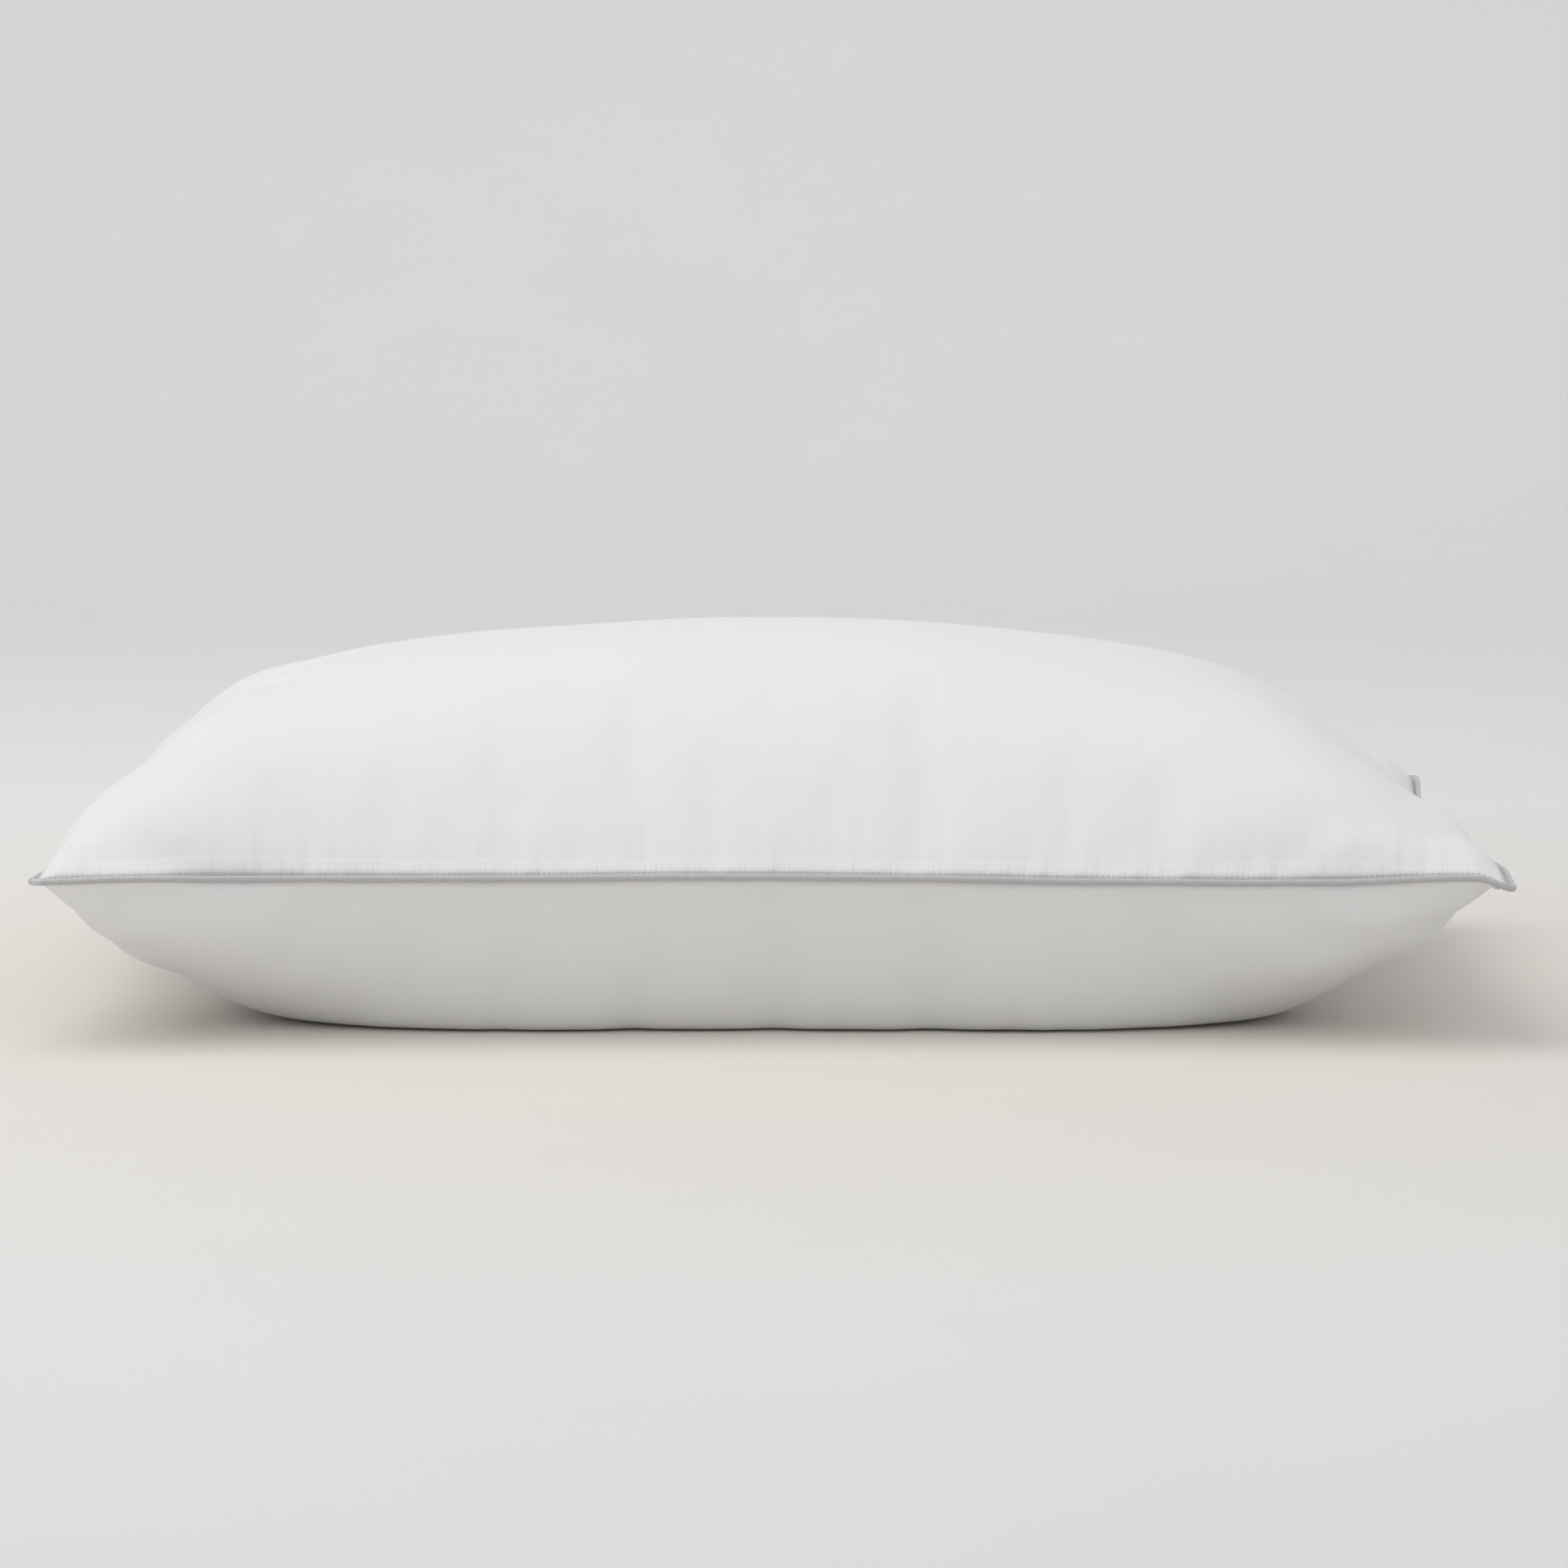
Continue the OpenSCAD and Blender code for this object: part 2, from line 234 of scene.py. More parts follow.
TIP_SIDES = (0.04, 0.15)  # out from the middle line, where that extra starts and is whole
FULLNESS_EASE = 21  # steps of 2 mm over which the bends of the curve are rounded off
SEAM_RISE = (  # how much higher than an even seam the front seam lies along the pillow
    (-0.37, 0.0012), (-0.326, 0.0025), (-0.25, 0.0019), (-0.18, 0.0012), (-0.11, 0.0011),
    (-0.04, 0.0017), (0.03, 0.0013), (0.1, 0.0006), (0.15, -0.0003), (0.24, -0.0003),
    (0.29, 0.0006), (0.33, 0.003), (0.37, 0.004),
)
SEAM_RISE_ACROSS = (0.2, -0.05)  # places across the pillow where the rise starts and is whole
SEAM_RISE_EASE = 9  # steps, in the same way
END_SHARES = (0.7, 0.92)  # of the half length, where an end starts and is whole
SIDE_SHARES = (0.3, 0.6)  # of the half depth, in the same way
CREASE_SPREAD = 3  # cells of the grid that a crease is smoothed over
CORNER_SPREAD = 2
CREASE_EASE = 0.55  # share of the creases across each seam that the fibre smooths out
CORNER_EASE = 0.85
UNDER_CORNER_EASE = 0.8
TIP_DROOP = 0.0065
TIP_CURL = 0.018  # how far from the tip the droop starts
EAR_LIFT = 0.004  # of the back right tip, which stands up a little
EAR_REACH = 0.07  # how far from that tip the lift starts
PRESS_RADIUS = 0.006  # roundness of the cloth where it leaves the surface


def ramp(place, start, end):
    """From 0 at start to 1 at end, with soft ends."""
    share = np.clip((place - start) / (end - start), 0, 1)
    return share * share * (3 - 2 * share)


def eased_curve(stations, place, steps):
    """A curve through stations, with its bends rounded off over this many steps of 2 mm."""
    fine = np.linspace(-0.4, 0.4, 401)
    curve = np.interp(fine, *zip(*stations))
    rounded_off = np.convolve(np.pad(curve, steps // 2, "edge"), np.ones(steps) / steps, "valid")
    return np.interp(place, fine, rounded_off)


def smoothed(grid, axis, spread):
    """A grid averaged along one direction, with its first and last rows left as they are."""
    steps = np.arange(-3 * spread, 3 * spread + 1)
    weights = np.exp(-((steps / spread) ** 2) / 2)
    turned = np.moveaxis(grid, axis, 0)
    reach = len(weights) // 2
    start = 2 * turned[:1] - turned[reach:0:-1]
    end = 2 * turned[-1:] - turned[-2 : -reach - 2 : -1]
    longer = np.concatenate([start, turned, end])
    mean = sum(w * longer[i : i + len(turned)] for i, w in enumerate(weights)) / weights.sum()
    return np.moveaxis(mean, 0, axis)


near_end = ramp(np.abs(u), *END_SHARES)
near_side = ramp(np.abs(v), *SIDE_SHARES)
beside_long = (1 - near_end) * CREASE_EASE
beside_short = near_end * (1 - near_side) * CREASE_EASE
in_corner = near_end * near_side
for skin in (top_skin, under_skin):
    skin += beside_long[..., None] * (smoothed(skin, 0, CREASE_SPREAD) - skin)
    skin += beside_short[..., None] * (smoothed(skin, 1, CREASE_SPREAD) - skin)
    corner_ease = CORNER_EASE if skin is top_skin else UNDER_CORNER_EASE
    both_ways = smoothed(smoothed(skin, 1, CREASE_SPREAD), 0, CORNER_SPREAD)
    skin += corner_ease * in_corner[..., None] * (both_ways - skin)
    x, y = skin[..., 0], skin[..., 1]
    fullness = TOP_FULLNESS if skin is top_skin else UNDER_FULLNESS
    extra, room, curve = TOP_TIPS if skin is top_skin else UNDER_TIPS
    near_tip = np.clip(1 - (tip_x - np.abs(x)) / room, 0, 1) ** curve
    near_tip *= ramp(np.abs(y), *TIP_SIDES)
    skin[..., 2] *= eased_curve(fullness, x, FULLNESS_EASE) * (1 + extra * near_tip)
    front_rise = eased_curve(SEAM_RISE, x, SEAM_RISE_EASE) * ramp(y, *SEAM_RISE_ACROSS)
    skin[..., 2] += seam_height + front_rise
    from_front_right = np.hypot(x - tip_x, (y + tip_y) / 2)
    skin[..., 2] -= TIP_DROOP * ramp(from_front_right, TIP_CURL, 0)
    skin[..., 2] += EAR_LIFT * ramp(np.hypot(x - tip_x, y - tip_y), EAR_REACH, 0)
    if skin is under_skin:
        height = skin[..., 2]
        skin[..., 2] = (height + np.sqrt(height**2 + PRESS_RADIUS**2)) / 2
        skin[..., 2] -= skin[..., 2].min()
        skin[on_edge] = top_skin[on_edge]
seam_points = edge_loop(top_skin)


# ---- Finishes ----
# Every cloth, thread, fibre and paper below is made of a few nodes: Finish adds them, and
# Wire lets a value that changes over the surface be written as plain arithmetic.
class Wire:
    """A value that changes over a surface; arithmetic on it adds Math nodes."""

    def __init__(self, finish, socket):
        self.finish = finish
        self.socket = socket

    def math(self, operation, *values):
        return self.finish.node("ShaderNodeMath", {"operation": operation}, dict(enumerate(values)))

    def __add__(self, other):
        return self.math("ADD", self, other)

    def __sub__(self, other):
        return self.math("SUBTRACT", self, other)

    def __rsub__(self, other):
        return self.math("SUBTRACT", other, self)

    def __mul__(self, other):
        return self.math("MULTIPLY", self, other)

    __radd__ = __add__
    __rmul__ = __mul__

    def size(self):
        return self.math("ABSOLUTE", self)

    def least(self, other):
        return self.math("MINIMUM", self, other)

    def below(self, other):
        return self.math("LESS_THAN", self, other)

    def sine(self):
        return self.math("SINE", self)

    def ramp(self, start, end):
        """From 0 at start to 1 at end, with soft ends."""
        sockets = {"Value": self, "From Min": start, "From Max": end}
        return self.finish.node(
            "ShaderNodeMapRange", {"interpolation_type": "SMOOTHSTEP"}, sockets, "Result"
        )


class Finish:
    """A material of one Principled shader, with fixed values for some of its sockets."""

    def __init__(self, name, **fixed):
        self.material = bpy.data.materials.new(name)
        self.material.use_nodes = True
        self.shader = self.material.node_tree.nodes["Principled BSDF"]
        for socket, value in fixed.items():
            self.shader.inputs[socket.replace("_", " ")].default_value = value

    def node(self, kind, settings, sockets, output=0):
        """Adds a node, and returns one of its outputs as a wire."""
        node = self.material.node_tree.nodes.new(kind)
        for name, value in settings.items():
            setattr(node, name, value)
        for name, value in sockets.items():
            self.feed(node.inputs[name], value)
        return Wire(self, node.outputs[output])

    def feed(self, socket, value):
        if isinstance(value, Wire):
            self.material.node_tree.links.new(value.socket, socket)
        else:
            socket.default_value = value

    def surface(self, colour, roughness, height):
        """Feeds the shader's colour and roughness, and its relief from a height in metres."""
        self.feed(self.shader.inputs["Base Color"], colour)
        self.feed(self.shader.inputs["Roughness"], roughness)
        relief = self.node("ShaderNodeBump", {}, {"Height": height, "Distance": 1.0}, "Normal")
        self.feed(self.shader.inputs["Normal"], relief)
        return self.material

    def place(self, map_name):
        """The two directions of a cloth's map, in metres."""
        mapped = self.node("ShaderNodeUVMap", {"uv_map": map_name}, {})
        apart = {"Vector": mapped}
        return (
            self.node("ShaderNodeSeparateXYZ", {}, apart, "X"),
            self.node("ShaderNodeSeparateXYZ", {}, apart, "Y"),
        )

    def noise(self, across, along, detail=2.0):
        """Soft noise from 0 to 1, one grain to each unit of either direction."""
        spot = self.node("ShaderNodeCombineXYZ", {}, {"X": across, "Y": along})
        sockets = {"Vector": spot, "Scale": 1.0, "Detail": detail}
        return self.node("ShaderNodeTexNoise", {"noise_dimensions": "2D"}, sockets)

    def blend(self, share, first, second):
        """A colour between two colours."""
        mix = self.material.node_tree.nodes.new("ShaderNodeMix")
        mix.data_type = "RGBA"
        self.feed(mix.inputs["Factor"], share)
        for socket, colour in zip([s for s in mix.inputs if s.type == "RGBA"], (first, second)):
            self.feed(socket, colour if isinstance(colour, Wire) else (*colour, 1))
        return Wire(self, next(s for s in mix.outputs if s.type == "RGBA"))


# ---- The panels ----
# Smooth white percale, cut in one piece for each side.  The cut edges are turned inside as an
# allowance, which shows as a faint ridge along the seam, and the stitches pull small puckers.
CLOTH_THICKNESS = 0.00035
ALLOWANCE = 0.0095  # from the fold in to the cut edge
THREAD_PITCH = 0.00028
STITCH_PITCH = 0.0028
WEAVE_HEIGHT = 0.000012
SLUB_HEIGHT = 0.00001
STITCH_DENT = 0.00006
SMALL_PUCKER = 0.0008
LONG_PUCKER = 0.0024
CLIP_LEAST = 0.004
CLIP_SLOPE = 0.55
TURNED_MAP = 1.02  # the cloth's map goes on a little past the fold
FOLD_LIFT = 0.0001
CUT_EDGE_LIFT = 0.0003
CLOTH_MAP = "percale"


def percale(name, cool, warm, ridge_height, gather):
    """White percale in two close shades, with its weave, slubs, seam ridge and puckers."""
    finish = Finish(name, Sheen_Weight=0.25, Sheen_Roughness=0.4, Specular_IOR_Level=0.3)
    weft, warp = finish.place(CLOTH_MAP)
    from_short = PATTERN_LENGTH / 2 - weft.size()
    from_long = PATTERN_DEPTH / 2 - warp.size()
    near_long = from_long.below(from_short)
    from_seam = from_long.least(from_short)
    along = near_long * weft + (1 - near_long) * warp

    turn = math.pi / THREAD_PITCH
    weave = (weft * turn).sine() * (warp * turn).sine()
    slubs = finish.noise(weft * 60, warp * 1800) + finish.noise(weft * 1800, warp * 60)
    ridge = 1 - from_seam.ramp(ALLOWANCE, ALLOWANCE + 0.0016)
    stitch_fade = 1 - from_seam.ramp(0.003, 0.012)
    stitches = (along * (2 * math.pi / STITCH_PITCH) + 5 * finish.noise(along * 90, 0.0)).sine()
    small = finish.noise(along * 260, from_seam * 50) * stitch_fade
    pucker_fade = (1 - from_seam.ramp(0.006, 0.06)) * from_seam.ramp(0, 0.006)
    puckers = finish.noise(along * 65, from_seam * 9, 1.5) * pucker_fade
    height = (
        WEAVE_HEIGHT * weave
        + SLUB_HEIGHT * slubs
        + ridge_height * ridge
        + gather
        * (STITCH_DENT * stitches * stitch_fade + SMALL_PUCKER * small + LONG_PUCKER * puckers)
    )
    patches = finish.noise(weft * 7, warp * 7, 3.0)
    # Painted shade: the band over the turned-in allowance along the seam is pushed to the darker,
    # warmer colour; the slubs add the yarn's own tone.
    seam_shade_and_slubs = 0.35 * ridge + 0.08 * slubs
    colour = finish.blend(patches * 0.8 + seam_shade_and_slubs * 0.25, cool, warm)
    roughness = 0.72 + 0.06 * slubs + 0.04 * weave
    return finish.surface(colour, roughness, height)


def inset_loop(points, distance, along_z=0.0):
    """A closed loop set in towards the pillow's middle, and moved up or down."""
    ahead = np.roll(points, -1, 0) - np.roll(points, 1, 0)
    inward = np.stack([-ahead[:, 1], ahead[:, 0], 0 * ahead[:, 0]], -1)
    inward /= np.linalg.norm(inward, axis=1)[:, None]
    return points + inward * np.reshape(distance, (-1, 1)) + [0, 0, along_z]


def clipped(width, points):
    """How far an allowance may reach in at each point of a loop: less near a clipped corner."""
    from_tip = np.hypot(tip_x - np.abs(points[:, 0]), tip_y - np.abs(points[:, 1]))
    return np.minimum(width, CLIP_LEAST + CLIP_SLOPE * from_tip)


def panel(name, skin, face_up, material):
    """One panel: the stuffed skin, and its allowance turned in from the fold."""
    side = 1 if face_up else -1
    pattern = np.stack([u * PATTERN_LENGTH / 2, v * PATTERN_DEPTH / 2], -1)
    fold = edge_loop(skin) + [0, 0, side * FOLD_LIFT]
    cut_edge = inset_loop(fold, clipped(ALLOWANCE, fold), side * CUT_EDGE_LIFT)
    count = len(fold)
    first = grid_count + np.arange(count)
    strip = np.stack([first, np.roll(first, -1), np.roll(first, -1) + count, first + count], -1)
    points = np.vstack([skin.reshape(-1, 3), fold, cut_edge])
    faces = [*grid_faces(top_index, face_up), *(strip[:, ::-1] if face_up else strip)]
    fold_map = edge_loop(pattern)
    mapped = np.vstack([pattern.reshape(-1, 2), fold_map, fold_map * TURNED_MAP])
    piece = mesh_piece(name, points, faces, CLOTH_MAP, mapped)
    piece.data.materials.append(material)
    smoothing = piece.modifiers.new("smooth", "SUBSURF")
    smoothing.levels = smoothing.render_levels = 1
    cloth = piece.modifiers.new("cloth", "SOLIDIFY")
    cloth.thickness = CLOTH_THICKNESS
    cloth.offset = -1
    return applied(piece)


def applied(piece):
    """Makes the shape that a piece's modifiers give it its own."""
    shaped = piece.evaluated_get(bpy.context.evaluated_depsgraph_get())
    mesh = bpy.data.meshes.new_from_object(shaped)
    piece.modifiers.clear()
    piece.data = mesh
    return piece


# The two panels are the same cloth: the top's copy is darker and bluer as painted shade under the
# strong light from above, and the underside's paler as painted light in its shade.
top_cotton = percale("cotton_top", (0.79, 0.795, 0.811), (0.772, 0.775, 0.787), 0.0003, 1.0)
under_cotton = percale("cotton_underside", (0.83, 0.835, 0.845), (0.81, 0.808, 0.81), 0.0001, 0.3)
for name, skin, face_up, cotton in (
    ("top_cloth", top_skin, True, top_cotton),
    ("under_cloth", under_skin, False, under_cotton),
):
    piece = panel(name, skin, face_up, cotton)
    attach(piece, "root")
    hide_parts("top_panel" if face_up else "bottom_panel")


# ---- The filling ----
# One loose mass of white siliconised fibre.  It fills the shell up to the allowances, so it
# is the same shape a little smaller, with a tangled surface.
FILLING_GAP = 0.003  # from the cloth in to the fibre
EDGE_GAP = 0.013  # along the seam, where the allowances are
TIP_GAP = 0.009  # more in the corners, which no fibre reaches
TIP_ROOM = (0.09, 0.03)  # distances from a tip where that starts and is whole
FIBRE_GRID = 2  # every so many crossings of the cloth's grid


def fibre():
    finish = Finish("fibre", Sheen_Weight=0.5)
    across, along = finish.place("tangle")
    strands = finish.noise(across * 900, along * 120, 4.0) + finish.noise(
        across * 140, along * 1100, 4.0
    )
    clumps = finish.noise(across * 40, along * 40, 4.0)
    colour = finish.blend(clumps, (0.9, 0.9, 0.88), (0.8, 0.79, 0.76))
    return finish.surface(colour, 0.8 + 0.15 * clumps, 0.0006 * strands + 0.003 * clumps)


def filling():
    points = np.vstack([top_skin.reshape(-1, 3), under_skin[~on_edge]])
    used = [index[::FIBRE_GRID, ::FIBRE_GRID] for index in (top_index, under_index)]
    kept = np.unique(np.concatenate([g.ravel() for g in used]))
    renumbered = {old: new for new, old in enumerate(kept)}
    faces = np.vstack([grid_faces(used[0], True), grid_faces(used[1], False)])
    faces = [[renumbered[i] for i in f] for f in faces]
    plan = np.stack([u * PATTERN_LENGTH / 2, v * PATTERN_DEPTH / 2], -1)
    mapped = np.vstack([plan.reshape(-1, 2), plan[~on_edge]])
    piece = mesh_piece("fibre_filling", points[kept], faces, "tangle", mapped[kept])
    edge = np.isin(kept, edge_loop(top_index))
    normals = np.array([vertex.normal for vertex in piece.data.vertices])
    from_tip = np.hypot(tip_x - np.abs(points[kept, 0]), tip_y - np.abs(points[kept, 1]))
    depth = np.where(edge, EDGE_GAP, FILLING_GAP + TIP_GAP * ramp(from_tip, *TIP_ROOM))[:, None]
    piece.data.vertices.foreach_set("co", (points[kept] - normals * depth).ravel())
    piece.data.update()
    piece.data.materials.append(fibre())
    return piece


piece = filling()
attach(piece, "root")
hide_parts("filling")


# ---- The piping ----
# A strip of silver-grey satin cut on the bias and folded round a soft cord.  Its two edges
# lie between the allowances of the panels, and its ends meet at the front left corner.
TAPE_THICKNESS = 0.0003
PIPING_STEP = 0.003
TAPE_MAP = "bias"


def rounded(points):
    """A closed line with its corners taken off, as many points again."""
    between = (points + np.roll(points, -1, 0)) / 2
    kept = (np.roll(points, 1, 0) + 6 * points + np.roll(points, -1, 0)) / 8
    return np.stack([kept, between], 1).reshape(-1, 3)


def evenly(points, step):
    """Points at even steps along a closed line."""
    closed = np.vstack([points, points[:1]])
    reached = np.concatenate([[0], np.cumsum(np.linalg.norm(np.diff(closed, axis=0), axis=1))])
    count = round(reached[-1] / step)
    wanted = np.arange(count) * reached[-1] / count
    return np.stack([np.interp(wanted, reached, closed[:, k]) for k in range(3)], -1)


def ring_section(radius, sides):
    turn = np.arange(sides) * 2 * math.pi / sides
    return np.stack([radius * np.cos(turn), radius * np.sin(turn)], -1)


def swept_round(name, line, section, reach=None, map_name=None):
    """A closed line given a section: its x points out of the pillow, and its y points up."""
    ahead = np.roll(line, -1, 0) - np.roll(line, 1, 0)
    ahead /= np.linalg.norm(ahead, axis=1)[:, None]
    out = np.stack([ahead[:, 1], -ahead[:, 0], 0 * ahead[:, 0]], -1)
    out /= np.linalg.norm(out, axis=1)[:, None]
    up = np.cross(out, ahead)
    across = np.repeat(section[None, :, 0], len(line), 0)
    if reach is not None:
        across = np.maximum(across, -reach[:, None])
    points = line[:, None] + across[..., None] * out[:, None]
    points = points + section[None, :, 1, None] * up[:, None]
    rows, sides = points.shape[:2]
    index = np.arange(rows * sides).reshape(rows, sides)
    following = np.roll(index, -1, 0)
    corners = [index, following, np.roll(following, -1, 1), np.roll(index, -1, 1)]
    faces = np.stack(corners, -1).reshape(-1, 4)[:, ::-1]
    travelled = np.arange(rows)[:, None] * np.linalg.norm(line[1] - line[0]) + 0 * across
    round_it = np.cumsum(
        np.linalg.norm(section - np.roll(section, 1, 0), axis=1)[None] + 0 * across, 1
    )
    mapped = np.stack([travelled, round_it], -1).reshape(-1, 2)
    return mesh_piece(name, points.reshape(-1, 3), faces, map_name, mapped)


seam_line = rounded(rounded(seam_points))
piping_line = evenly(inset_loop(seam_line, -SEAM_INSET), PIPING_STEP)


def satin(name, light, dark, roughness):
    """Satin on the bias: fine diagonal floats of thread that catch the light."""
    finish = Finish(name, Sheen_Weight=0.3, Specular_IOR_Level=0.6)
    along, across = finish.place(TAPE_MAP)
    floats = ((along + across) * (2 * math.pi / 0.0006)).sine()
    wear = finish.noise(along * 300, across * 300, 3.0)
    folds = finish.noise(along * 160, across * 40, 2.0)
    paler_end = 1 - along.ramp(0.003, 0.005)
    # Painted sheen: the raised floats are lighter in colour.
    colour = finish.blend(0.5 + 0.12 * floats + 0.5 * (wear - 0.5) + paler_end, dark, light)
    height = 0.00001 * floats + 0.00012 * folds + 0.00003 * wear
    return finish.surface(colour, roughness + 0.1 * wear, height)


def tape_section():
    """Round the cord, and two edges that lie flat against each other inside the seam."""
    half = TAPE_THICKNESS + 0.00002
    opening = math.asin(half / piping_r)
    turn = np.linspace(opening - math.pi, math.pi - opening, 15)
    outer = np.stack([piping_r * np.cos(turn), piping_r * np.sin(turn)], -1)
    return np.vstack([[[-ALLOWANCE, -half]], outer, [[-ALLOWANCE, half]]])


tape_reach = clipped(ALLOWANCE, piping_line)
piece = swept_round("piping_satin_tape", piping_line, tape_section(), tape_reach, TAPE_MAP)
piece.data.materials.append(satin("satin_silver", (0.55, 0.54, 0.55), (0.38, 0.37, 0.38), 0.28))
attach(piece, "root")
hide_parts("piping_tape")


# ---- The cord in the piping ----
# A soft cotton cord twisted from three strands.  It isn't seen, but it gives the piping its
# round shape.
def twisted_cotton():
    finish = Finish("twisted_cotton")
    along, across = finish.place("twist")
    strands = ((along * 0.8 + across) * (2 * math.pi * 3 / 0.008)).sine()
    fuzz = finish.noise(along * 1500, across * 1500, 3.0)
    # Painted shade: the grooves between the strands are darker in colour than their crowns.
    colour = finish.blend(0.5 + 0.3 * strands, (0.72, 0.69, 0.61), (0.86, 0.84, 0.78))
    return finish.surface(colour, 0.85 + 0.1 * fuzz, 0.00015 * strands + 0.00005 * fuzz)


cord_section = ring_section(piping_r - TAPE_THICKNESS - 0.00005, 8)
piece = swept_round("filler_cord", piping_line, cord_section, None, "twist")
piece.data.materials.append(twisted_cotton())
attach(piece, "root")
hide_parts("piping_cord")


# ---- The sewing thread ----
# Two-ply polyester thread, white for most rows; the row that shows is painted grey as the
# shade of its needle holes and puckers.  Rows of stitches on the cloth are short dashes, each
# dipping into its needle holes.
THREAD_RADIUS = 0.0002
STITCH_LENGTH = 0.0021
THREAD_MAP = "ply"
ALMOST_UP = (0.0123, 0.0311, 1.0)  # never quite in line with a thread


def sewing_thread(name, light, dark):
    """Two-ply thread: its plies wind round it, with a little fuzz."""
    finish = Finish(name, Sheen_Weight=0.2, Specular_IOR_Level=0.45)
    along, across = finish.place(THREAD_MAP)
    plies = ((along + across * 0.8) * (2 * math.pi / 0.0007)).sine()
    fuzz = finish.noise(along * 2500, across * 2500, 2.0)
    # Painted shade: the grooves between the plies are darker in colour than their crowns.
    colour = finish.blend(0.5 + 0.35 * plies, dark, light)
    return finish.surface(colour, 0.5 + 0.2 * fuzz, 0.00003 * plies)


def swept_threads(name, lines, radius, sides=6):
    """Open lines of thread, each closed at both ends, in one piece."""
    points, faces, mapped = [], [], []
    section = ring_section(radius, sides)
    for line in lines:
        ahead = np.gradient(line, axis=0)
        ahead /= np.linalg.norm(ahead, axis=1)[:, None]
        level = np.cross(ahead, ALMOST_UP)
        level /= np.linalg.norm(level, axis=1)[:, None]
        rise = np.cross(level, ahead)
        rows = (
            line[:, None]
            + section[None, :, :1] * level[:, None]
            + section[None, :, 1:] * rise[:, None]
        )
        base = len(points)
        points.extend(rows.reshape(-1, 3))
        index = base + np.arange(len(line) * sides).reshape(len(line), sides)
        turned = np.roll(index, -1, 1)
        corners = [index[:-1], turned[:-1], turned[1:], index[1:]]
        faces.extend(np.stack(corners, -1).reshape(-1, 4).tolist())
        faces.append(index[0, ::-1].tolist())
        faces.append(index[-1].tolist())
        travelled = np.concatenate(
            [[0], np.cumsum(np.linalg.norm(np.diff(line, axis=0), axis=1))]
        )
        around = np.arange(sides) * 2 * math.pi * radius / sides
        mapped.extend(np.stack(np.meshgrid(travelled, around, indexing="ij"), -1).reshape(-1, 2))
    return mesh_piece(name, points, faces, THREAD_MAP, mapped)


def lie_on(piece_name):
    """A function that puts points down on a piece, and gives the direction out of it there."""
    tree = BVHTree.FromObject(
        bpy.data.objects[piece_name], bpy.context.evaluated_depsgraph_get()
    )

    def put_down(points):
        found = [tree.find_nearest(Vector(p)) for p in points]
        return np.array([f[0] for f in found]), np.array([f[1] for f in found])

    return put_down


def stitch_row(skin, piece_name, up_cloth, sunk, keep=None):
    """Short dashes of thread along the seam, each dipping into its needle holes."""
    loop = edge_loop(skin)
    inner = edge_loop(first_row_in(skin))
    up = inner - loop
    up /= np.linalg.norm(up, axis=1)[:, None]
    dense = rounded(rounded(loop + up * up_cloth))
    middles = evenly(dense, STITCH_PITCH)
    steps = np.linspace(-0.5, 0.5, 5) * STITCH_LENGTH
    ahead = np.roll(middles, -1, 0) - np.roll(middles, 1, 0)
    ahead /= np.linalg.norm(ahead, axis=1)[:, None]
    spread = middles[:, None] + steps[None, :, None] * ahead[:, None]
    if keep is not None:
        spread = spread[keep(middles)]
    count = len(spread)
    places, out = lie_on(piece_name)(spread.reshape(-1, 3))
    lift = np.array([-1.4, 0.25, 0.5, 0.25, -1.4]) * THREAD_RADIUS - sunk
    places = places + out * np.tile(lift, count)[:, None]
    return places.reshape(count, 5, 3)


def first_row_in(skin):
    """The skin's grid with each edge point replaced by the next one in."""
    moved = skin.copy()
    moved[0], moved[-1] = skin[1], skin[-2]
    moved[:, 0], moved[:, -1] = moved[:, 1], moved[:, -2]
    return moved


# Painted shade: the edge row's thread is grey to stand for the shade of its needle holes and
# puckers.
edge_thread = sewing_thread("edge_thread", (0.62, 0.62, 0.64), (0.42, 0.42, 0.44))
white_thread = sewing_thread("white_thread", (0.88, 0.88, 0.87), (0.7, 0.7, 0.7))


# ---- The visible stitches ----
# One row of dashes along the top panel just above the piping, all the way round, painted grey
# as the shade of their needle holes and puckers.  It lies on the cloth and sinks into it a little.
EDGE_STITCH_UP = 0.003  # from the fold up to the row
EDGE_STITCH_SUNK = 0.00005

piece = swept_threads(
    "edge_stitches",
    stitch_row(top_skin, "top_cloth", EDGE_STITCH_UP, EDGE_STITCH_SUNK),
    THREAD_RADIUS,
)
piece.data.materials.append(edge_thread)
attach(piece, "root")
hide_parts("edge_stitch")


# ---- The seam ----
# The needle thread and the bobbin thread that join both panels and the piping tape.  They
# lie inside the fold, above and below the tape.
SEAM_STITCH_IN = 0.0035
SEAM_STEP = 0.006
SEAM_THREAD_OFF = 0.0007  # from the middle of the tape

inner_line = evenly(inset_loop(seam_line, np.full(len(seam_line), SEAM_STITCH_IN)), SEAM_STEP)
bobbin_and_needle = []
for side in (-1, 1):
    thread = inner_line + [0, 0, side * SEAM_THREAD_OFF]
    bobbin_and_needle.append(np.vstack([thread, thread[:1]]))
piece = swept_threads("seam_threads", bobbin_and_needle, THREAD_RADIUS)
piece.data.materials.append(white_thread)
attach(piece, "root")
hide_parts("assembly_seam")


# ---- The overlocking ----
# Loops of white thread over the raw edges of the allowances, above and below them, which
# keep the cut cloth from fraying.
LOOP_PITCH = 0.003
LOOP_WIDTH = 0.0036
LOOP_OFF = 0.0009
PAST_EDGE = 0.0003

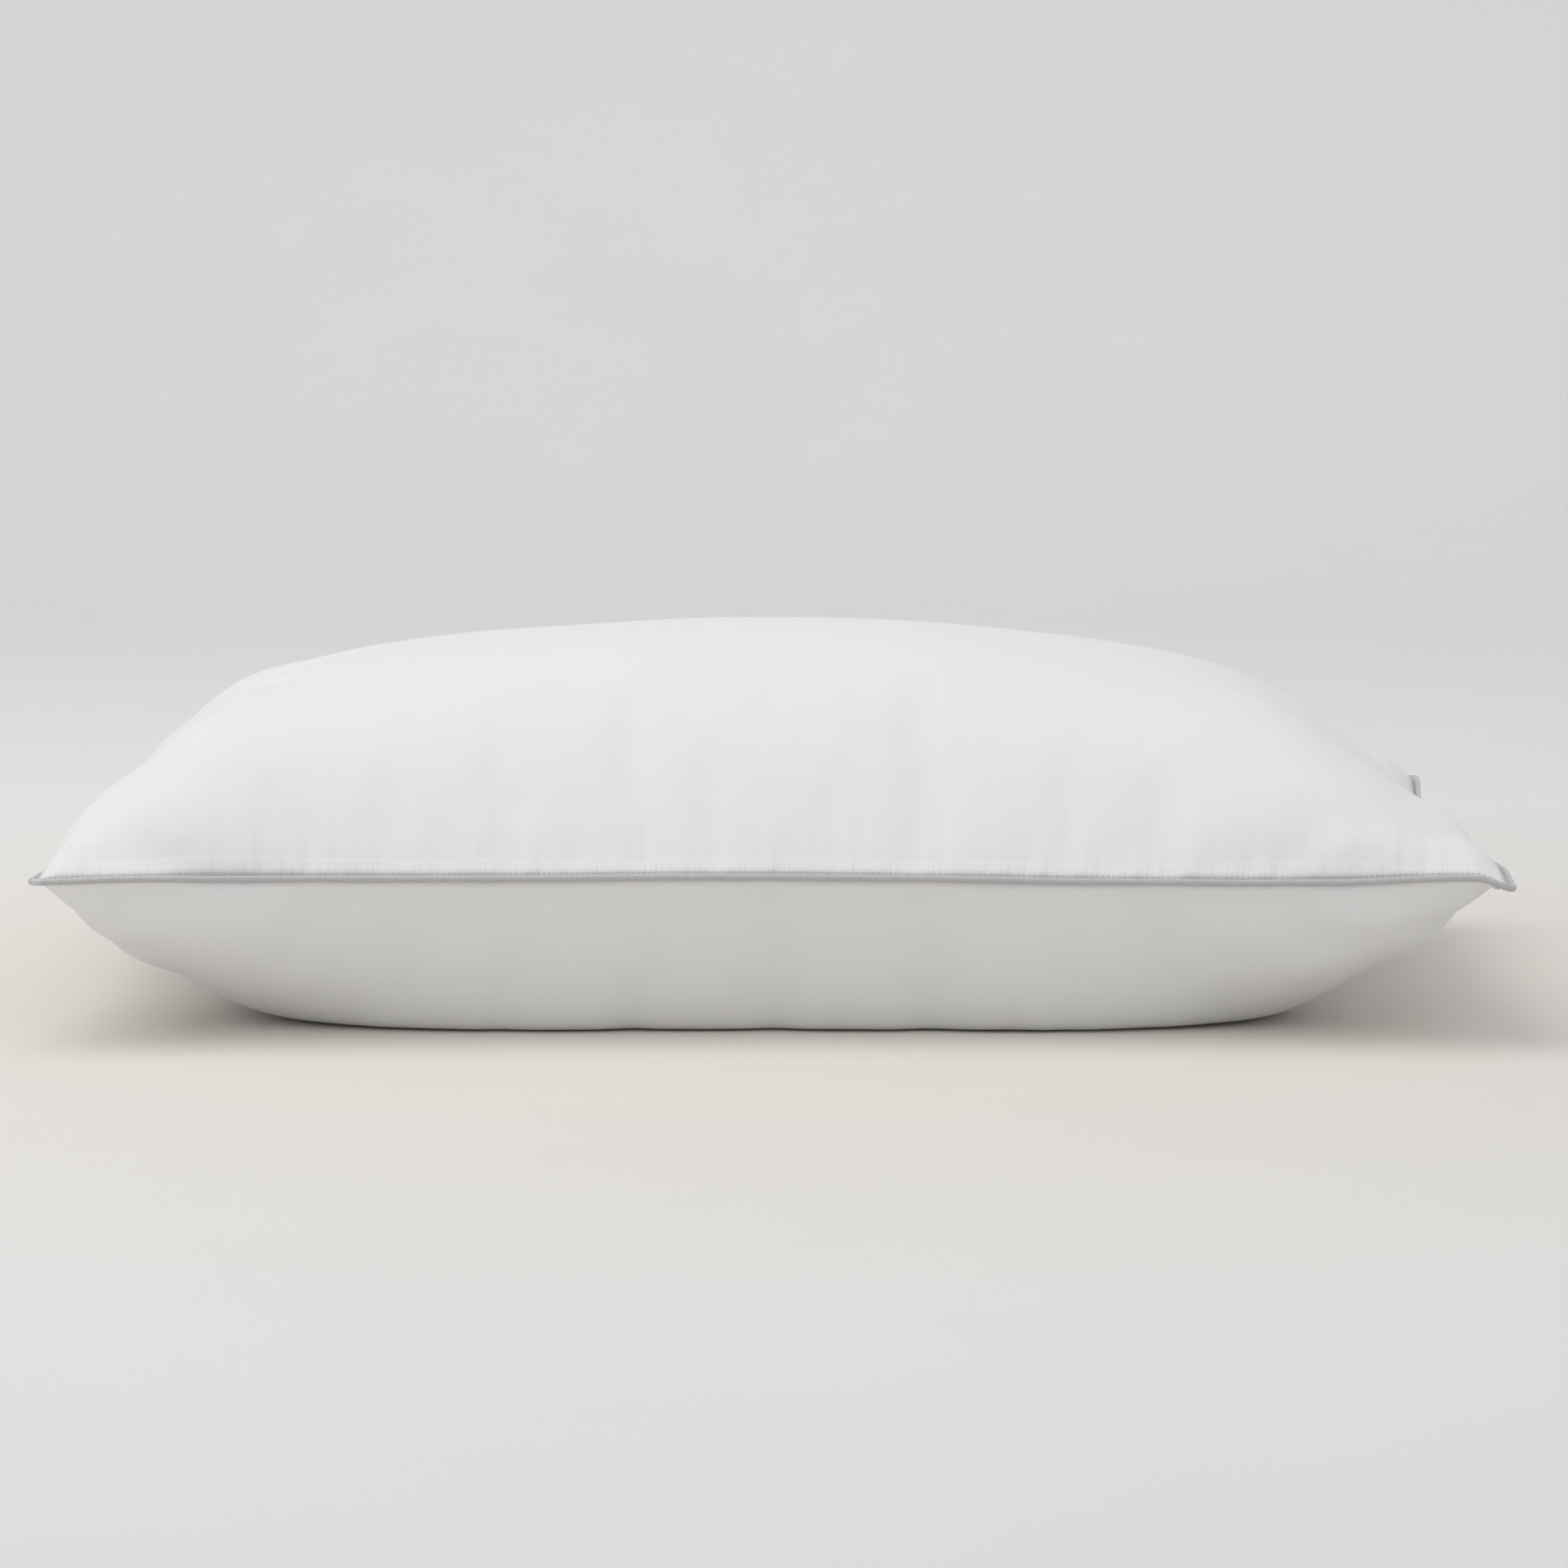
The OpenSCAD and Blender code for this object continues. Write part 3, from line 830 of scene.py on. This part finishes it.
raw_edge = evenly(inset_loop(seam_line, clipped(ALLOWANCE, seam_line) + PAST_EDGE), LOOP_PITCH)
over = inset_loop(raw_edge, np.full(len(raw_edge), -LOOP_WIDTH))
loops = []
for start, reach_in, end in zip(raw_edge, over, np.roll(raw_edge, -1, 0)):
    for side in (-1, 1):
        off = np.array([0, 0, side * LOOP_OFF])
        loops.append(np.array([start, start + off, (start + reach_in) / 2 + off, reach_in + off]))
        loops.append(np.array([reach_in + off, (end + reach_in) / 2 + off, end + off, end]))
piece = swept_threads("overlock_threads", loops, THREAD_RADIUS * 0.8, 4)
piece.data.materials.append(white_thread)
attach(piece, "root")
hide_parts("overlock_stitch")


# ---- The closing stitches ----
# Where the pillow was stuffed through its left side, both panels have a row of white dashes
# that shuts the opening.
CLOSING_UP = 0.0042
closing_low, closing_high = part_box("closing_stitch")


def beside_opening(middles):
    """Which of these places on a row are beside the opening in the left side."""
    inside = (middles[:, 1] > closing_low.y) & (middles[:, 1] < closing_high.y)
    return inside & (middles[:, 0] < 0)


closing = [
    *stitch_row(top_skin, "top_cloth", CLOSING_UP, 0.0, beside_opening),
    *stitch_row(under_skin, "under_cloth", CLOSING_UP * 0.7, 0.0, beside_opening),
]
piece = swept_threads("closing_stitches", closing, THREAD_RADIUS * 1.1)
piece.data.materials.append(white_thread)
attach(piece, "root")
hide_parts("closing_stitch")


# ---- The tack on the piping ----
# A white thread wound round the outer side of the piping near the front left corner, where
# the piping's ends meet, with a short tail.
tack_low, tack_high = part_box("piping_tack")
tack_place = (np.array(tack_low) + np.array(tack_high)) / 2
nearest = np.linalg.norm(piping_line[:, :2] - tack_place[:2], axis=1).argmin()
tack_middle = piping_line[nearest]
along_piping = piping_line[nearest + 1] - piping_line[nearest - 1]
along_piping /= np.linalg.norm(along_piping)
out_of_pillow = np.cross(along_piping, [0, 0, 1])
tack_r = piping_r + THREAD_RADIUS * 0.9
turn = np.radians(np.linspace(-125, 125, 21))[:, None]
tack = tack_middle + tack_r * (np.cos(turn) * out_of_pillow + np.sin(turn) * np.array([0, 0, 1]))
tack += along_piping * turn * 0.0004
tail_turn = np.linspace(0, 1, 6)[:, None]
tail = tack[-1] + tail_turn * (along_piping * 0.002 + np.array([0, 0, 0.0012]))
piece = swept_threads("tack_thread", [np.vstack([tack, tail[1:]])], THREAD_RADIUS)
piece.data.materials.append(white_thread)
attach(piece, "root")
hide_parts("piping_tack")


# ---- The care label ----
# A blank ribbon of white satin.  Its end is caught in the back seam, and it hangs down
# behind the pillow with a slight bend.
label_low, label_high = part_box("care_label")
label_width = label_high.x - label_low.x
LABEL_DROP = 0.05
LABEL_CAUGHT = 0.006
LABEL_THICKNESS = 0.0002
LABEL_OFF = 0.0022  # from the seam out to where the ribbon leaves it
LABEL_WAVE = 0.0022
LABEL_MAP = "ribbon"


def label_ribbon():
    across = np.linspace(-0.5, 0.5, 13) * label_width
    down = np.linspace(-LABEL_CAUGHT, LABEL_DROP, 23)
    middle_x = (label_low.x + label_high.x) / 2
    back = piping_line[piping_line[:, 1] > 0]
    seam = back[np.abs(back[:, 0] - middle_x).argmin()]
    a, d = np.meshgrid(across, down, indexing="ij")
    hanging = np.maximum(d, 0)
    bend = np.minimum(hanging, 0.004)
    out = np.where(d < 0, d, LABEL_OFF + 0.3 * bend + 0.1 * hanging)
    out += LABEL_WAVE * np.sin(a / label_width * 2.6 + 0.6) * hanging / LABEL_DROP
    out += 0.004 * (hanging / LABEL_DROP) ** 2 * (a / label_width + 0.3)
    low = np.where(d < 0, -0.0006, -0.0006 - hanging * 0.985)
    points = np.stack([middle_x + a, seam[1] + out - 0.001, seam[2] + low], -1)
    index = np.arange(a.size).reshape(a.shape)
    mapped = np.stack([a, d], -1).reshape(-1, 2)
    piece = mesh_piece(
        "blank_label", points.reshape(-1, 3), grid_faces(index, True), LABEL_MAP, mapped
    )
    cloth = piece.modifiers.new("cloth", "SOLIDIFY")
    cloth.thickness = LABEL_THICKNESS
    return applied(piece)


def label_satin():
    finish = Finish("label_satin", Sheen_Weight=0.2, Specular_IOR_Level=0.6)
    across, down = finish.place(LABEL_MAP)
    ribs = (down * (2 * math.pi / 0.0004)).sine()
    selvedge = (across.size()).ramp(label_width / 2 - 0.0016, label_width / 2 - 0.0011)
    creases = finish.noise(across * 60, down * 60, 3.0)
    # Painted shade: the ribbon is darker in colour where its creases rise.
    colour = finish.blend(creases * 0.6 + selvedge * 0.3, (0.88, 0.88, 0.87), (0.78, 0.78, 0.77))
    return finish.surface(
        colour, 0.42 + 0.15 * creases, 0.00001 * ribs + 0.0005 * creases + 0.00008 * selvedge
    )


piece = label_ribbon()
piece.data.materials.append(label_satin())
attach(piece, "root")
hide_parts("care_label")


# ---- The backdrop, the light and the camera ----
# A pale paper sweep that lies under the pillow and curves up behind it, lit by a wide soft
# light from above and a little from the left, and by a second one on the sweep.
SWEEP_HALF = 12
SWEEP_BACK = 4.0
SWEEP_RADIUS = 1.5
SWEEP_TOP = 8.0
ROOM_LIGHT = 0.77


def paper():
    finish = Finish("pale_paper")
    spot = finish.node("ShaderNodeTexCoord", {}, {}, "Object")
    mottle = finish.node("ShaderNodeTexNoise", {}, {"Vector": spot, "Scale": 6.0, "Detail": 3.0})
    away = finish.node("ShaderNodeVectorMath", {"operation": "LENGTH"}, {0: spot}, "Value")
    # Painted shade: from 0.3 m to 1.1 m round the pillow the paper turns from a warmer, darker
    # colour to its plain one, standing for the warm shade round the pillow; the mottle is the
    # paper's own.
    near = finish.blend(mottle, (0.75, 0.715, 0.665), (0.73, 0.7, 0.65))
    far = finish.blend(mottle, (0.77, 0.765, 0.755), (0.75, 0.745, 0.735))
    colour = finish.blend(away.ramp(0.3, 1.1), near, far)
    return finish.surface(colour, 0.9, 0.0002 * mottle)


bend = np.radians(np.linspace(0, 90, 25))
flat_end = SWEEP_BACK - SWEEP_RADIUS
profile = [(-SWEEP_HALF, 0), (flat_end - 0.02, 0)]
profile += [
    (flat_end + SWEEP_RADIUS * math.sin(a), SWEEP_RADIUS * (1 - math.cos(a))) for a in bend
]
profile += [(SWEEP_BACK, SWEEP_RADIUS + 0.02), (SWEEP_BACK, SWEEP_TOP)]
corners = [(x, y, z) for x in (-SWEEP_HALF, SWEEP_HALF) for y, z in profile]
index = np.arange(len(corners)).reshape(2, -1)
sweep = mesh_piece("paper_sweep", corners, grid_faces(index, True))
sweep.data.materials.append(paper())


def soft_light(name, size, power, place, aim, colour):
    light = bpy.data.lights.new(name, "AREA")
    light.shape = "DISK"
    light.size = size
    light.energy = power
    light.color = colour
    lamp = bpy.data.objects.new(name, light)
    lamp.location = place
    lamp.rotation_euler = (Vector(place) - Vector(aim)).to_track_quat("Z", "Y").to_euler()
    bpy.context.scene.collection.objects.link(lamp)


soft_light("overhead", 2.4, 24, (-1.1, -0.3, 2.4), (0, 0, 0.1), (1, 0.998, 0.99))
soft_light("on_sweep", 3.0, 13, (0, 1.6, 3.4), (0, SWEEP_BACK, 0.6), (1, 1, 0.985))
room = bpy.data.worlds.new("room")
room.use_nodes = True
room.node_tree.nodes["Background"].inputs["Color"].default_value = (0.985, 0.99, 1, 1)
room.node_tree.nodes["Background"].inputs["Strength"].default_value = ROOM_LIGHT
bpy.context.scene.world = room
bpy.context.scene.view_settings.view_transform = "Standard"

CAMERA_DISTANCE = 3.0  # from the front corners of the pillow
CAMERA_HEIGHT = 0.449
CAMERA_PITCH = 6.0
CAMERA_ASIDE = 0.0057
CAMERA_LENS = 139.4
camera = bpy.data.objects.new("camera", bpy.data.cameras.new("camera"))
camera.data.sensor_width = 36
camera.data.lens = CAMERA_LENS
camera.location = (CAMERA_ASIDE, cad_box[0].y - CAMERA_DISTANCE, CAMERA_HEIGHT)
camera.rotation_euler = (math.radians(90 - CAMERA_PITCH), 0, 0)
bpy.context.scene.collection.objects.link(camera)
bpy.context.scene.camera = camera
